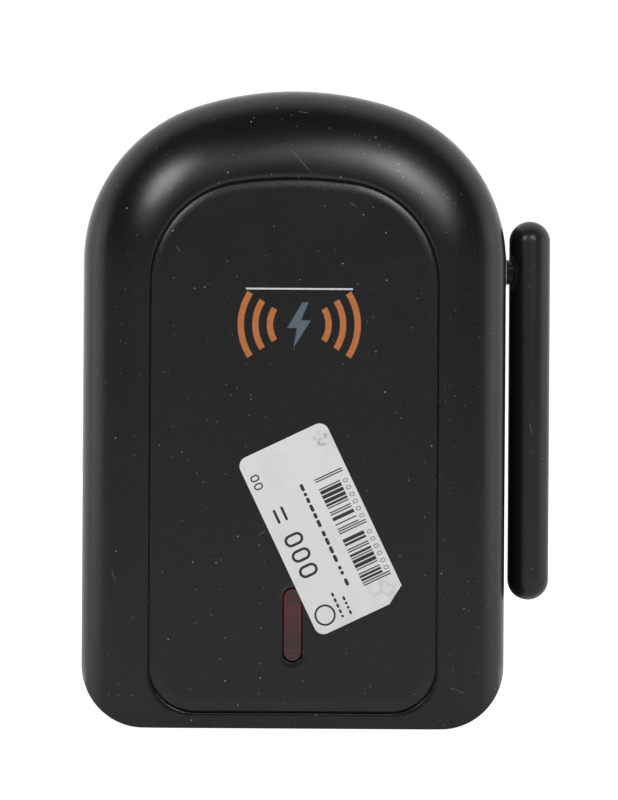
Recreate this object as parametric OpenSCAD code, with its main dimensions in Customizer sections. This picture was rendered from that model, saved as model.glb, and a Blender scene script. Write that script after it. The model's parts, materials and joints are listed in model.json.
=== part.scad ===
// Battery powered radio transmitter for current sensors: an arched case with a flip antenna.
// +Z is up, the front faces -Y, and the origin is the middle of the base at half the depth.

/* [Case] */
// Width of the case
body_w = 88; // [86:1:110]
// Height of the case
body_h = 132; // [131:1:165]
// Depth of the case
body_d = 38; // [37:1:46]
// Wall thickness of the two shells
wall = 2.2; // [1.8:0.1:2.8]
// Radius of the crown of the arch
crown_r = 66; // [60:1:90]
// Radius of the haunches, beside the crown
haunch_r = 34; // [28:1:38]
// Radius of the two bottom corners
corner_r = 13.2; // [10:0.2:16]
// Depth of the front shell behind the front face
front_shell_d = 27; // [26:0.5:29]
// Gap between the two shells where they meet
seam_gap = 0.2; // [0.1:0.05:0.4]

/* [Shoulder] */
// Width of the rounded shoulder round the flat front
shoulder_w = 18.4; // [14:0.2:20]
// Large radius of the shoulder, next to the flat front
shoulder_big_r = 30; // [26:1:36]
// Small radius of the shoulder, next to the side
shoulder_small_r = 9; // [7:0.5:11]

/* [Battery door] */
// Width left beside the door
door_side = 14.55; // [13.5:0.05:15.5]
// Height left above the door
door_top = 18.8; // [16:0.2:20]
// Height left below the door
door_bottom = 3.5; // [3:0.5:5]
// Radius of the crown of the door
door_crown_r = 83.2; // [70:0.2:120]
// Radius of the door's upper corners
door_haunch_r = 20.6; // [16:0.2:24]
// Radius of the door's lower corners
door_corner_r = 9.3; // [7:0.1:12]
// Thickness of the door
door_t = 2; // [1.6:0.1:2.4]
// Gap all round the door
door_gap = 0.35; // [0.3:0.05:0.5]
// Width of the ledge that the door rests on
ledge_w = 1.8; // [1.4:0.1:2.2]
// Thickness of the ledge
ledge_t = 1.2; // [1:0.1:1.6]
/* [Indicator] */
// Width of the slot for the indicator lens
slot_w = 4.2; // [3.6:0.1:5]
// Length of the slot for the indicator lens
slot_len = 15.5; // [12:0.5:18]
// Height of the slot's centre
slot_z = 21.3; // [20:0.1:23]
// Gap between the slot and the lens
lens_gap = 0.3; // [0.3:0.05:0.5]
// Depth of the lens below the door's face
lens_drop = 0.7; // [0.4:0.1:1]

/* [Antenna] */
// Diameter of the antenna
antenna_d = 8.6; // [7.6:0.2:11]
// Length of the antenna
antenna_len = 79.5; // [70:0.5:96]
// Length of the antenna above its pivot
antenna_over = 10.7; // [9:0.1:13]
// Distance of the pivot below the top of the case
pivot_drop = 37.2; // [36:0.2:42]
// Gap between the antenna and the side of the case
antenna_gap = 1; // [0.6:0.1:2]
// Diameter of the hub that the antenna turns on
hub_d = 5.2; // [4.6:0.1:6]
// Diameter of the cable way through the hub
hub_bore = 2.4; // [2.2:0.1:2.8]

/* [Batteries] */
// Diameter of a cell
cell_d = 26.2; // [20:0.1:26.4]
// Length of a cell
cell_len = 50; // [44:0.5:50.5]
// Gap between the two cells
cell_gap = 1; // [0.8:0.1:1.2]
// Height of the contact springs under load
spring_h = 5; // [4:0.5:6]
// Thickness of the tray's walls
tray_t = 1.6; // [1.2:0.1:1.8]

/* [Sensor sockets] */
// Distance between the sockets
socket_pitch = 12; // [11:0.5:13]
// Bore of a socket, for a 3.5 mm plug
socket_bore = 3.6; // [3.6:0.05:3.7]
// Depth of a socket's bore
socket_depth = 13.4; // [12:0.2:14]

/* [Board] */
// Width of the main board
board_w = 62; // [56:1:62]
// Height of the main board
board_h = 33.5; // [32:0.5:33.5]
// Thickness of the boards
board_t = 1.6; // [1:0.2:1.6]

/* [Pairing button] */
// Diameter of the button
button_d = 5.2; // [4:0.2:6]
// Travel of the button
button_travel = 0.5; // [0.3:0.1:0.6]

/* [Wall mounting] */
// Distance between the two keyholes
keyhole_pitch = 50; // [40:1:60]
// Diameter of the keyholes' round ends
keyhole_d = 8.4; // [7:0.2:10]
// Width of the keyholes' slots
keyhole_slot = 4.4; // [4:0.2:5]

/* [Label] */
// Width of the price label
label_w = 20; // [15:1:25]
// Length of the price label
label_len = 40; // [30:1:45]
// Turn of the price label from upright
label_turn = 25.5; // [-30:0.5:30]

/* [Hidden] */
$fn = 96;

far = 400;
front_y = -body_d/2;
back_y = body_d/2;
split_y = front_y + front_shell_d;
inside_y = back_y - wall; // the back wall's inner face
black = "#2b2c2e";
metal = "#b9bcc0";

haunch_x = body_w/2 - haunch_r;
arch_turn = asin(haunch_x/(crown_r - haunch_r));
crown_steps = ceil(arch_turn/4.6);
spring_z = body_h - crown_r + (crown_r - haunch_r)*cos(arch_turn); // where the sides become straight
shoulder_turn = asin((shoulder_w - shoulder_small_r)/(shoulder_big_r - shoulder_small_r));
side_y = front_y + shoulder_big_r - (shoulder_big_r - shoulder_small_r)*cos(shoulder_turn); // where the shoulder ends

door_w = body_w - 2*door_side;
door_h = body_h - door_top;
door_haunch_x = door_w/2 - door_haunch_r;
door_turn = asin(door_haunch_x/(door_crown_r - door_haunch_r));
door_spring_z = door_h - door_crown_r + (door_crown_r - door_haunch_r)*cos(door_turn);
ledge_y = front_y + door_t + 0.3;
rim_t = 1.6; // the rim round the door's opening

// Case screws, from the back: two low ones beside the board and two high ones under the pivot
pivot_z = body_h - pivot_drop;
screw_in = 8.5; // from the side of the case
screw_xz = [for (x = [-1, 1], z = [22, pivot_z - 17]) [x*(body_w/2 - screw_in), z]];
screw_r = 1.4;
screw_clear = 0.2;
screw_head = [2.75, 2.1]; // radius and height
screw_seat_y = back_y - 5.5;
screw_tip_y = split_y - 9;

// Cells, side by side behind the door, in a tray above the board
cell_x = (cell_gap + cell_d)/2;
cell_y = front_y + door_t + 0.8 + cell_d/2;
contact_t = 0.4;
contact_size = [11, 10];
board_z = wall + 2.3;
tray_z = board_z + board_h + 0.9;
bay_z = tray_z + tray_t;
bay_h = cell_len + spring_h + 2*contact_t;
tray_h = bay_h + 2*tray_t;
tray_w = 2*(cell_x + cell_d/2 + 0.5 + tray_t);
tray_front_y = ledge_y + ledge_t + 0.3;
tray_back_y = cell_y + cell_d/2 + 0.3 + tray_t;
left_cell_z = bay_z + contact_t + spring_h;
right_cell_z = bay_z + contact_t;

// Board, with its parts on the front and its posts behind
board_y = split_y - 3; // the board's front face
post_xz = [for (x = [-1, 1], z = [4, board_h - 3.5]) [x*(board_w/2 - 4), board_z + z]];
post_r = 3;
post_screw_r = 1;
deck_y = front_y + 5.8; // the front of the deck that hides the board
deck_t = 1.6;
led_h = 3;

// Parts on the board's front, by their middle in X and Z
radio_at = [14.5, 26.5];
crystal_at = [-12, 33.6];
crystal_size = [4.4, 11]; // width and length
chip_at = [-16, 24.5];
chip_w = 8;
can_x = 27; // the two capacitors
can_r = 2.5;

// Sensor sockets and pairing button, in a row along the base
socket_y = board_y - 3.1;
socket_r = 3;
socket_mouth = 0.8;
socket_x = [for (i = [-1.5, -0.5, 0.5]) i*socket_pitch];
button_x = 1.6*socket_pitch;
button_mouth = 0.4;
button_gap = 0.1;
flange_z = wall + 0.1;
switch_z = flange_z + 3.8;
plunger_r = 1.6;
plunger_out = 1.1; // the plunger stands out of the switch by this, and goes in by the next
plunger_in = 1.2;

// Antenna and its pivot
antenna_r = antenna_d/2;
antenna_x = body_w/2 + antenna_gap + antenna_r;
antenna_z = pivot_z + antenna_over - antenna_len;
antenna_wall = 1.4;
hub_r = hub_d/2;
bush_r = hub_r + 1.2;
bush_face_x = body_w/2 - wall - 2.4; // the inner face of the boss that holds the bush
bush_flange_t = 0.8;
washer_t = 0.55;
clip_t = 0.8;
clip_x = bush_face_x - bush_flange_t - 0.05 - washer_t - clip_t;
hub_groove_r = hub_r - 0.5;

// Aerial lead, from the hub down between the tray and the screw bosses to the board
lead_r = 0.6;
lead_x = tray_w/2 + 1.6;
lead_bend = 2;

keyhole_z = tray_z + tray_h + 8;
keyhole_rise = 7;
label_t = 0.1;
label_at = [5.85, 41.2];
rating_size = [36, 22];
rating_depth = 0.2;

// A shape drawn in X and Z, made solid between two depths
module upright(from, to) {
    translate([0, to, 0]) rotate([90, 0, 0]) linear_extrude(height = to - from) children();
}

// A flat shape and its mirror image
module both_sides() {
    children();
    mirror([1, 0]) children();
}

module box(low, high) {
    translate(low) cube(high - low);
}

// One half of an arch: a crown and a haunch that meet smoothly, over straight sides
module half_arch(crown, haunch, haunch_at, spring, turn, top, low, inset) {
    intersection() {
        translate([0, top - crown]) circle(crown - inset);
        polygon([[0, top - crown], [0, top + crown], [2*crown*tan(turn), top + crown]]);
    }
    intersection() {
        translate([haunch_at, spring]) circle(haunch - inset);
        polygon([[haunch_at, spring], [haunch_at + 2*haunch*sin(turn), spring + 2*haunch*cos(turn)],
            [haunch_at + 2*haunch, spring + 2*haunch], [haunch_at + 2*haunch, spring]]);
    }
    translate([0, low]) square([haunch_at + haunch - inset, spring - low]);
}

// The case's outline, moved in at the base and at the sides
module half_outline(base, side) {
    corner = [body_w/2 - corner_r, corner_r];
    intersection() {
        half_arch(crown_r, haunch_r, haunch_x, spring_z, arch_turn, body_h, base, side);
        union() {
            translate(corner) circle(corner_r - base);
            translate([0, base]) square([corner.x, far]);
            translate([0, corner.y]) square([far, far]);
        }
    }
}

// The door's outline, moved in by the inset
module half_door(inset) {
    corner = [door_w/2 - door_corner_r, door_bottom + door_corner_r];
    half_arch(door_crown_r, door_haunch_r, door_haunch_x, door_spring_z, door_turn, door_h,
        corner.y, inset);
    translate(corner) circle(door_corner_r - inset);
    translate([0, door_bottom + inset]) square([corner.x, door_corner_r]);
}

module case_prism(base, side, from, to) {
    upright(from, to) both_sides() half_outline(base, side);
}

module door_prism(inset, from, to) {
    upright(from, to) both_sides() half_door(inset);
}

// Points round the arch from its right foot to its left, moved in at the sides and at the base
function arch_side(inset, base) = concat(
    [for (a = [0:9:90]) [min(body_w/2 - corner_r + (corner_r - base)*sin(a), body_w/2 - inset),
        corner_r - (corner_r - base)*cos(a)]],
    [for (a = [0:7.5:89]) if (a < 90 - arch_turn)
        [haunch_x, spring_z] + (haunch_r - inset)*[cos(a), sin(a)]],
    [for (i = [0:crown_steps - 1]) let (a = 90 - arch_turn*(1 - i/crown_steps))
        [0, body_h - crown_r] + (crown_r - inset)*[cos(a), sin(a)]]);
function arch_ring(inset, base) = let (side = arch_side(inset, base), n = len(side)) concat(
    side, [[0, body_h - inset]], [for (i = [1:n]) [-side[n - i].x, side[n - i].y]]);

// The shoulder in section, from the front to the side: distance in from the side, and depth
function shoulder(skin) = concat(
    [for (a = [0, 0.5]*shoulder_turn) [shoulder_w - (shoulder_big_r - skin)*sin(a),
        front_y + shoulder_big_r - (shoulder_big_r - skin)*cos(a)]],
    [for (i = [0:5]) let (a = shoulder_turn + (90 - shoulder_turn)*i/5)
        [shoulder_small_r - (shoulder_small_r - skin)*sin(a), side_y - (shoulder_small_r - skin)*cos(a)]]);

// A solid made of rings round the arch, with a fan over each end
module ringed(section, base, first_y, last_y) {
    rings = [for (s = section) [for (p = arch_ring(s[0], base)) [p.x, s[1], p.y]]];
    n = len(rings[0]);
    last = (len(rings) - 1)*n;
    middle = len(rings)*n;
    polyhedron(
        [for (r = rings) each r, [0, first_y, spring_z], [0, last_y, spring_z]],
        [for (i = [0:n - 1]) let (j = (i + 1)%n) each [
            [middle, j, i],
            [middle + 1, last + i, last + j],
            for (k = [0:n:last - n]) [k + i, k + j, k + n + j, k + n + i]]]);
}

// The case's front, as deep as the front shell, and the hollow in it
module front_solid() {
    ringed(concat(shoulder(0), [[0, split_y]]), 0, front_y, split_y);
}

module front_hollow() {
    ringed(concat(shoulder(wall), [[wall, split_y + 1]]), wall, front_y + wall, split_y + 1);
}

// Depth of the shoulder's inner wall at a distance in from the side
function inner_y(u) = front_y + shoulder_big_r
    - sqrt(pow(shoulder_big_r - wall, 2) - pow(shoulder_w - u, 2));

// The hollow of the back shell
module back_hollow() {
    case_prism(wall, wall, split_y - 1, inside_y);
}

// A round bar along Y between two depths, at a place in X and Z
module bar_y(at, r, from, to) {
    translate([at.x, to, at.y]) rotate([90, 0, 0]) cylinder(r = r, h = to - from);
}

// A round bar along X at the pivot
module bar_x(r, from, to) {
    translate([from, 0, pivot_z]) rotate([0, 90, 0]) cylinder(r = r, h = to - from);
}

module bar_z(at, r, from, to) {
    translate([at.x, at.y, from]) cylinder(r = r, h = to - from);
}

module stadium(w, h) {
    square([w, h - w], center = true);
    for (s = [-1, 1]) translate([0, s*(h - w)/2]) circle(w/2);
}

module slot_shape(grow, from, to) {
    upright(from, to) translate([0, slot_z]) stadium(slot_w + 2*grow, slot_len + 2*grow);
}

module front_shell() color(black) {
    difference() {
        union() {
            difference() {
                front_solid();
                front_hollow();
            }
            door_prism(-door_gap - rim_t, front_y + 1.2, ledge_y + ledge_t);
            for (p = screw_xz) bar_y(p, screw_head[0] + 0.65, inner_y(screw_in) - 0.5, split_y);
            bar_x(bush_r + 2, bush_face_x, body_w/2 - wall/2);
        }
        door_prism(-door_gap, front_y - 1, ledge_y);
        door_prism(ledge_w, front_y - 1, ledge_y + ledge_t + 1);
        for (p = screw_xz) bar_y(p, screw_r, screw_tip_y - 1, split_y + 1);
        for (x = socket_x) bar_z([x, socket_y], socket_r + 0.15, -1, wall + 1);
        bar_z([button_x, socket_y], button_d/2 + button_gap, -1, wall + 1);
        bar_x(bush_r, 0, body_w);
    }
}

module back_shell() color(black) {
    lip = wall + 0.15;
    difference() {
        union() {
            difference() {
                case_prism(0, 0, split_y + seam_gap, back_y);
                back_hollow();
            }
            difference() {
                union() {
                    case_prism(lip, lip, split_y - 2, split_y + 2);
                    case_prism(wall/2, wall/2, split_y + seam_gap, split_y + 2);
                }
                case_prism(lip + 1.2, lip + 1.2, split_y - 3, split_y + 3);
            }
            for (p = screw_xz) bar_y(p, screw_head[0] + 1.5, split_y + seam_gap, back_y - wall/2);
            for (p = post_xz) bar_y(p, post_r, board_y + board_t, back_y - wall/2);
            for (s = [-1, 1]) box([s*cell_x - 0.8, tray_back_y, tray_z + 6],
                [s*cell_x + 0.8, back_y - wall/2, tray_z + tray_h - 6]);
        }
        for (p = screw_xz) {
            bar_y(p, screw_r + screw_clear, split_y - 1, back_y);
            bar_y(p, screw_head[0] + screw_clear + 0.15, screw_seat_y, back_y + 1);
        }
        for (p = post_xz) bar_y(p, post_screw_r, board_y, board_y + board_t + 8);
        for (s = [-1, 1]) {
            bar_y([s*keyhole_pitch/2, keyhole_z], keyhole_d/2, inside_y - 1, back_y + 1);
            bar_y([s*keyhole_pitch/2, keyhole_z + keyhole_rise], keyhole_slot/2, inside_y - 1, back_y + 1);
            box([s*keyhole_pitch/2 - keyhole_slot/2, inside_y - 1, keyhole_z],
                [s*keyhole_pitch/2 + keyhole_slot/2, back_y + 1, keyhole_z + keyhole_rise]);
        }
        box([-rating_size.x/2, back_y - rating_depth, body_h/2 - rating_size.y/2],
            [rating_size.x/2, back_y + 1, body_h/2 + rating_size.y/2]);
    }
}

module battery_door() color(black) {
    difference() {
        union() {
            intersection() {
                front_solid();
                door_prism(0, front_y - 1, front_y + door_t);
            }
            difference() {
                door_prism(ledge_w + 0.4, front_y + door_t/2, ledge_y + ledge_t - 0.2);
                door_prism(ledge_w + 1.6, front_y, ledge_y + ledge_t);
            }
        }
        slot_shape(0, front_y - 1, front_y + door_t + 1);
    }
}

// The paper label, with one corner torn off
module price_label() color("#eceae5") {
    r = 2;
    w = label_w/2;
    h = label_len/2;
    translate([label_at.x, 0, label_at.y]) rotate([0, -label_turn, 0])
        upright(front_y - label_t, front_y) difference() {
            union() {
                square([2*w, 2*h - 2*r], center = true);
                square([2*w - 2*r, 2*h], center = true);
                for (x = [-1, 1], z = [-1, 1]) translate([x*(w - r), z*(h - r)]) circle(r);
            }
            polygon([[w + 1, -h - 1], [w - 4.2, -h - 1], [w - 3.9, -h], [w - 2.6, -h + 0.9],
                [w - 1.2, -h + 1.75], [w, -h + 2.5], [w + 1, -h + 2.9]]);
        }
}

// Lens bar in the door's slot, its flange behind the deck, and the light guide to the LED
module indicator_lens() color("#5c1f22") {
    deck_back = deck_y + deck_t;
    slot_shape(-lens_gap, front_y + lens_drop, deck_back + 0.6);
    slot_shape(0.8, deck_back, deck_back + 1.2);
    bar_y([0, slot_z], 2, deck_back + 1, board_y - led_h - 0.4);
}

module battery_tray() color("#232427") {
    half_w = tray_w/2;
    difference() {
        union() {
            box([-half_w, tray_front_y, tray_z], [half_w, tray_back_y, tray_z + tray_h]);
            box([-half_w + tray_t, deck_y, board_z + 1], [half_w - tray_t, deck_y + deck_t, tray_z + 1]);
        }
        for (s = [-1, 1]) {
            bar_z([s*cell_x, cell_y], cell_d/2 + 0.3, bay_z, bay_z + bay_h);
            box([s*cell_x - cell_d/2 - 0.3, tray_front_y - 1, bay_z],
                [s*cell_x + cell_d/2 + 0.3, cell_y, bay_z + bay_h]);
            box([s*cell_x - 1.6, cell_y - 0.3, tray_z - 1], [s*cell_x + 1.6, cell_y + 0.3, bay_z + 1]);
        }
        box([-cell_x, tray_front_y - 1, bay_z], [cell_x, cell_y + contact_size.y/2 + 0.2, bay_z + bay_h]);
        slot_shape(0, deck_y - 1, deck_y + deck_t + 1);
    }
}

// A cell standing on its flat end, with its raised contact on top
module cell() {
    nub_h = 1.5;
    color("#8a6a3c") cylinder(r = cell_d/2, h = cell_len - nub_h);
    color(metal) translate([0, 0, cell_len - nub_h]) cylinder(r = 3.6, h = nub_h);
}

module cell_left() {
    translate([-cell_x, cell_y, left_cell_z]) cell();
}

module cell_right() {
    translate([cell_x, cell_y, right_cell_z + cell_len]) rotate([180, 0, 0]) cell();
}

// A conical spring along Z from its wide end, as one swept tube
function spring_point(t, turns, wide, narrow, h) = let (r = wide + (narrow - wide)*t, a = 360*turns*t)
    [r*cos(a), r*sin(a), h*t];
module spring(wide, narrow, wire, turns, h) {
    steps_per_turn = 14;
    sides = 8;
    n = steps_per_turn*turns;
    rise = h - 2*wire;
    rings = [for (k = [0:n]) let (t = k/n, p = spring_point(t, turns, wide, narrow, rise), a = 360*turns*t)
        [for (i = [0:sides - 1]) let (b = 360*i/sides)
            p + [0, 0, wire] + wire*(cos(b)*[cos(a), sin(a), 0] + sin(b)*[0, 0, 1])]];
    polyhedron([for (r = rings) each r], concat(
        [[for (i = [0:sides - 1]) sides - 1 - i]],
        [[for (i = [0:sides - 1]) n*sides + i]],
        [for (k = [0:n - 1], i = [0:sides - 1]) let (j = (i + 1)%sides)
            [k*sides + i, k*sides + j, k*sides + sides + j, k*sides + sides + i]]));
}

spring_wire = 0.45;

module contact_plate(z) {
    box([-contact_size.x/2, -contact_size.y/2, z], [contact_size.x/2, contact_size.y/2, z + contact_t]);
}

// The tab of a contact, down through the tray's floor to the board's top
module contact_tab(x) {
    box([x - 1.5, cell_y - 0.2, tray_z - 2.4], [x + 1.5, cell_y + 0.2, bay_z + contact_t/2]);
}

module negative_spring() color(metal) {
    translate([-cell_x, cell_y, 0]) contact_plate(bay_z);
    contact_tab(-cell_x);
    translate([-cell_x, cell_y, bay_z + contact_t - 0.1]) spring(6, 3.2, spring_wire, 4, spring_h + 0.1);
}

module positive_contact() color(metal) {
    translate([cell_x, cell_y, 0]) contact_plate(bay_z);
    contact_tab(cell_x);
}

module bridge_contact() color(metal) {
    top = bay_z + bay_h;
    box([-cell_x - contact_size.x/2, cell_y - contact_size.y/2, top - contact_t],
        [cell_x + contact_size.x/2, cell_y + contact_size.y/2, top]);
}

module bridge_spring() color(metal) {
    translate([cell_x, cell_y, bay_z + bay_h - contact_t]) mirror([0, 0, 1])
        spring(6, 3.2, spring_wire, 4, spring_h);
}

module main_board() color("#1f5b3a") {
    difference() {
        box([-board_w/2, board_y, board_z], [board_w/2, board_y + board_t, board_z + board_h]);
        for (p = post_xz) bar_y(p, post_screw_r + 0.2, board_y - 1, board_y + board_t + 1);
    }
}

// A part on the board's front, by its middle in X and Z, its size and its height
module on_board(at, size, h, base = 0) {
    box([at.x - size.x/2, board_y - base - h, at.y - size.y/2],
        [at.x + size.x/2, board_y - base, at.y + size.y/2]);
}

module radio_module() color("#23427a") {
    on_board(radio_at, [17.5, 13], 0.8);
}

module radio_can() color(metal) {
    on_board(radio_at + [1, 0], [13.5, 10.5], 2.1, 0.8);
}

module crystal() color(metal) {
    translate([crystal_at.x, 0, crystal_at.y]) rotate([0, 90, 0]) upright(board_y - 3.4, board_y)
        stadium(crystal_size.x, crystal_size.y);
}

module microcontroller() color("#1c1c1e") {
    leg = [1.4, 0.4];
    leg_x = chip_w/2 + 0.5;
    on_board(chip_at, [chip_w, chip_w], 1.2, 0.2);
    for (i = [-3:3], s = [-1, 1]) {
        on_board(chip_at + [s*leg_x, i], leg, 0.5);
        on_board(chip_at + [i, s*leg_x], [leg.y, leg.x], 0.5);
    }
}

module status_led() color("#c8302c") {
    bar_y([0, slot_z], 1.5, board_y - led_h, board_y);
    bar_y([0, slot_z], 1.9, board_y - 0.9, board_y);
}

module capacitors() color("#2a3350") {
    for (z = [18.5, 25.5]) bar_y([can_x, z], can_r, board_y - 7, board_y);
}

module surface_parts() color("#3a3128") {
    small = [2, 1.25];
    h = 0.7;
    for (x = [-27, -23.6], z = [17.5:3:29.5]) on_board([x, z], small, h);
    for (x = [-3.5, 3.5], z = [31, 34]) on_board([x, z], [small.y, small.x], h);
    on_board([-7.5, 24.5], [1.6, 3.2], 1.3);
}

// A 3.5 mm socket that opens downwards, with its nose in the base's hole
module sensor_socket(x) {
    foot = wall + 0.4;
    color("#1b1b1d") difference() {
        union() {
            box([x - 4, board_y - 6.2, foot], [x + 4, board_y, socket_mouth + socket_depth + 1.8]);
            bar_z([x, socket_y], socket_r, socket_mouth, foot + 1);
        }
        bar_z([x, socket_y], socket_bore/2, socket_mouth - 1, socket_mouth + socket_depth);
    }
}

module tact_switch() color("#2c2c30") {
    difference() {
        box([button_x - 3, board_y - 6.2, switch_z], [button_x + 3, board_y, switch_z + 3.6]);
        bar_z([button_x, socket_y], plunger_r + button_gap, switch_z - 1,
            switch_z + plunger_in + button_travel + 0.2);
    }
}

module switch_plunger() color("#d9d5ca") {
    bar_z([button_x, socket_y], plunger_r, switch_z - plunger_out, switch_z + plunger_in);
}

module pair_button() color("#3a3b3e") {
    at = [button_x, socket_y];
    bar_z(at, button_d/2, button_mouth, flange_z + 0.5);
    bar_z(at, button_d/2 + 0.9, flange_z, flange_z + 1);
    bar_z(at, plunger_r - 0.3, flange_z + 0.5, switch_z - plunger_out);
}

// The antenna's round bar, hollow inside, with the hub's hole in its inner side
module antenna_tube() {
    low = antenna_z + antenna_r;
    high = antenna_z + antenna_len - antenna_r;
    translate([antenna_x, 0, 0]) difference() {
        union() {
            translate([0, 0, low]) cylinder(r = antenna_r, h = high - low);
            for (z = [low, high]) translate([0, 0, z]) sphere(antenna_r);
        }
        translate([0, 0, low]) cylinder(r = antenna_r - antenna_wall, h = high - low);
    }
}

module antenna_half(side) color(black) {
    difference() {
        antenna_tube();
        box([antenna_x - antenna_r - 1, side > 0 ? -far : 0, antenna_z - 1],
            [antenna_x + antenna_r + 1, side > 0 ? 0 : far, antenna_z + antenna_len + 1]);
        bar_x(hub_r, 0, antenna_x);
    }
}

module antenna_front_half() {
    antenna_half(-1);
}

module antenna_rear_half() {
    antenna_half(1);
}

module antenna_element() color("#b87333") {
    bar_z([antenna_x, 0], 0.9, antenna_z + antenna_r, pivot_z - 4.2);
}

// The hub, clamped between the halves, grooved for its clip and bored for the lead
module antenna_hub() color(black) {
    difference() {
        union() {
            bar_x(hub_r, clip_x - 0.6, antenna_x);
            bar_z([antenna_x, 0], antenna_r - antenna_wall - 0.05, pivot_z - 4, pivot_z + 4);
        }
        bar_x(hub_bore/2, 0, antenna_x + 1);
        difference() {
            bar_x(hub_r + 1, clip_x, clip_x + clip_t);
            bar_x(hub_groove_r, clip_x - 1, clip_x + clip_t + 1);
        }
    }
}

module pivot_bush() color("#8d8f93") {
    difference() {
        union() {
            bar_x(bush_r, bush_face_x, body_w/2 + 0.3);
            bar_x(bush_r + 1.4, bush_face_x - bush_flange_t, bush_face_x);
        }
        bar_x(hub_r + 0.06, 0, body_w);
    }
}

module friction_washer() color("#d8d4c8") {
    difference() {
        bar_x(bush_r + 0.8, clip_x + clip_t, clip_x + clip_t + washer_t);
        bar_x(hub_r + 0.05, 0, body_w);
    }
}

module hub_clip() color(metal) {
    difference() {
        bar_x(hub_r + 1.8, clip_x, clip_x + clip_t);
        bar_x(hub_groove_r, 0, body_w);
        box([clip_x - 1, 0, pivot_z - 1.5], [clip_x + clip_t + 1, far, pivot_z + 1.5]);
    }
}

// A quarter bend of the lead, by where its two straight runs would meet
module bend(at, turn) {
    translate(at) rotate(turn) translate([lead_bend, lead_bend, 0]) rotate([0, 0, 180])
        rotate_extrude(angle = 90) translate([lead_bend, 0]) circle(lead_r);
}

module antenna_lead() color("#1d1d1f") {
    end_z = board_z + board_h - 7;
    bar_x(lead_r, lead_x + lead_bend, antenna_x - 1.2);
    bend([lead_x, 0, pivot_z], [-90, 0, 0]);
    bar_z([lead_x, 0], lead_r, end_z + lead_bend, pivot_z - lead_bend);
    bend([lead_x, 0, end_z], [0, -90, 0]);
    bar_y([lead_x, end_z], lead_r, lead_bend, board_y);
}

module battery_lead(x) {
    bar_y([x, tray_z - 1.7], 0.7, cell_y + 0.2, board_y);
}

module battery_lead_red() color("#b0201c") {
    battery_lead(cell_x);
}

module battery_lead_black() color("#141416") {
    battery_lead(-cell_x);
}

module screw(at, r, head, seat, tip) {
    bar_y(at, head[0], min(seat, seat + head[1]), max(seat, seat + head[1]));
    bar_y(at, r, min(seat, tip), max(seat, tip));
}

module case_screws() color(metal) {
    for (p = screw_xz) screw(p, screw_r, screw_head, screw_seat_y, screw_tip_y);
}

module board_screws() color(metal) {
    for (p = post_xz) screw(p, post_screw_r, [2.1, -1.5], board_y, board_y + board_t + 7);
}

module rating_label() color("#c9cacb") {
    box([-rating_size.x/2 + 0.2, back_y - rating_depth, body_h/2 - rating_size.y/2 + 0.2],
        [rating_size.x/2 - 0.2, back_y - rating_depth/2, body_h/2 + rating_size.y/2 - 0.2]);
}

front_shell();
back_shell();
battery_door();
price_label();
indicator_lens();
battery_tray();
cell_left();
cell_right();
negative_spring();
positive_contact();
bridge_contact();
bridge_spring();
main_board();
radio_module();
radio_can();
crystal();
microcontroller();
status_led();
capacitors();
surface_parts();
sensor_socket(socket_x[0]);  // sensor_socket_1
sensor_socket(socket_x[1]);  // sensor_socket_2
sensor_socket(socket_x[2]);  // sensor_socket_3
tact_switch();
switch_plunger();
pair_button();
antenna_front_half();
antenna_rear_half();
antenna_element();
antenna_hub();
pivot_bush();
friction_washer();
hub_clip();
antenna_lead();
battery_lead_red();
battery_lead_black();
case_screws();
board_screws();
rating_label();
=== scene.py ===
import json
import math
import random

import bmesh
import bpy
from mathutils import Matrix, Vector


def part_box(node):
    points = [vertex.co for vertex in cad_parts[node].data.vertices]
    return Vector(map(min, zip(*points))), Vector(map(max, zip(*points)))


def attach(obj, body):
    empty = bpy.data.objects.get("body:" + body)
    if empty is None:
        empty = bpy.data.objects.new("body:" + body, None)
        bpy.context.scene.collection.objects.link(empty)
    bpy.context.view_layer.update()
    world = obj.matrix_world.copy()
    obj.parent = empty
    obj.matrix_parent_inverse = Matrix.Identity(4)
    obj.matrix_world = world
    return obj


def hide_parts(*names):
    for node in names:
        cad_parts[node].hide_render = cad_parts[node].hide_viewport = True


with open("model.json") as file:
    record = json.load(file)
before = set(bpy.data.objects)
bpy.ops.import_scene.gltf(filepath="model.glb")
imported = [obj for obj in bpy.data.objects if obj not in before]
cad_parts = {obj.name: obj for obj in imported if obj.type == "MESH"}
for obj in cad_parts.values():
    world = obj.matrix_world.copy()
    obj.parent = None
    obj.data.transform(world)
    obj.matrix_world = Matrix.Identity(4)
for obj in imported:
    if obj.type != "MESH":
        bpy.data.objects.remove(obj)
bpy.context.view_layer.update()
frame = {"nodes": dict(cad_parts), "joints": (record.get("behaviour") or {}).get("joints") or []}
mm = 0.001

caseLow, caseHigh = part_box("front_shell")
doorLow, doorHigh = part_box("battery_door")
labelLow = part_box("price_label")[0]
lensLow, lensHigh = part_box("indicator_lens")
pivot = Vector(next(joint["pos_m"] for joint in frame["joints"] if joint["name"] == "antenna_swing"))


# shader groups, shared by the finishes

def newGroup(name, inputs, outputs):
    group = bpy.data.node_groups.new(name, "ShaderNodeTree")
    for label, kind, value in inputs:
        socket = group.interface.new_socket(label, in_out="INPUT", socket_type=kind)
        socket.default_value = value
    for label, kind in outputs:
        group.interface.new_socket(label, in_out="OUTPUT", socket_type=kind)
    source = group.nodes.new("NodeGroupInput")
    result = group.nodes.new("NodeGroupOutput")
    return group, source.outputs, result.inputs


def addNode(tree, kind, settings=None, values=None):
    node = tree.nodes.new("ShaderNode" + kind)
    for key, value in (settings or {}).items():
        setattr(node, key, value)
    for key, value in (values or {}).items():
        node.inputs[key].default_value = value
    return node


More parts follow.
